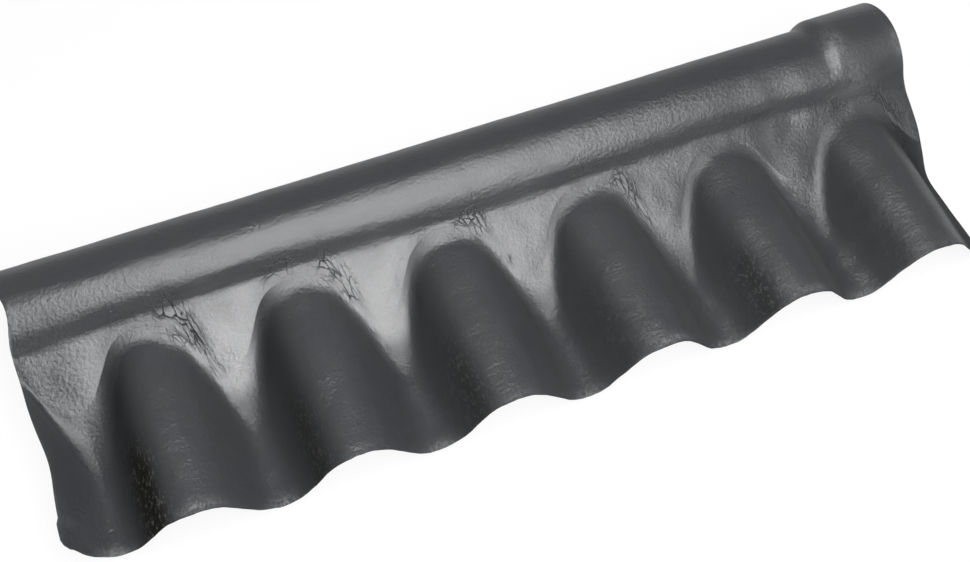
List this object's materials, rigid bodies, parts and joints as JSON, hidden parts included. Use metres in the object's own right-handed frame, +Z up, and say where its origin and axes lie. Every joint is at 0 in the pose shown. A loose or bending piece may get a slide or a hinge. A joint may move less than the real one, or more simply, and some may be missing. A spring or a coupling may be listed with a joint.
{
  "type": "roof ridge cap",
  "caption": "One wing of a two-piece roof ridge cap: a socketed roll along the ridge, a sloping apron and a wavy skirt that closes the top of corrugated roofing sheets.",
  "frame": {"origin": "under the middle of the cap's box, on the floor that it lies on", "axes": "+X along the ridge towards the socket end, -Y towards the skirt's lower edge, +Z up"},
  "size_m": [1.092, 0.3524, 0.1181],
  "materials": {
    "coated_fibre_cement": "satin anthracite coating over moulded fibre cement"
  },
  "bodies": {
    "root": {"ridge_cap": "coated_fibre_cement"}
  },
  "joints": []
}
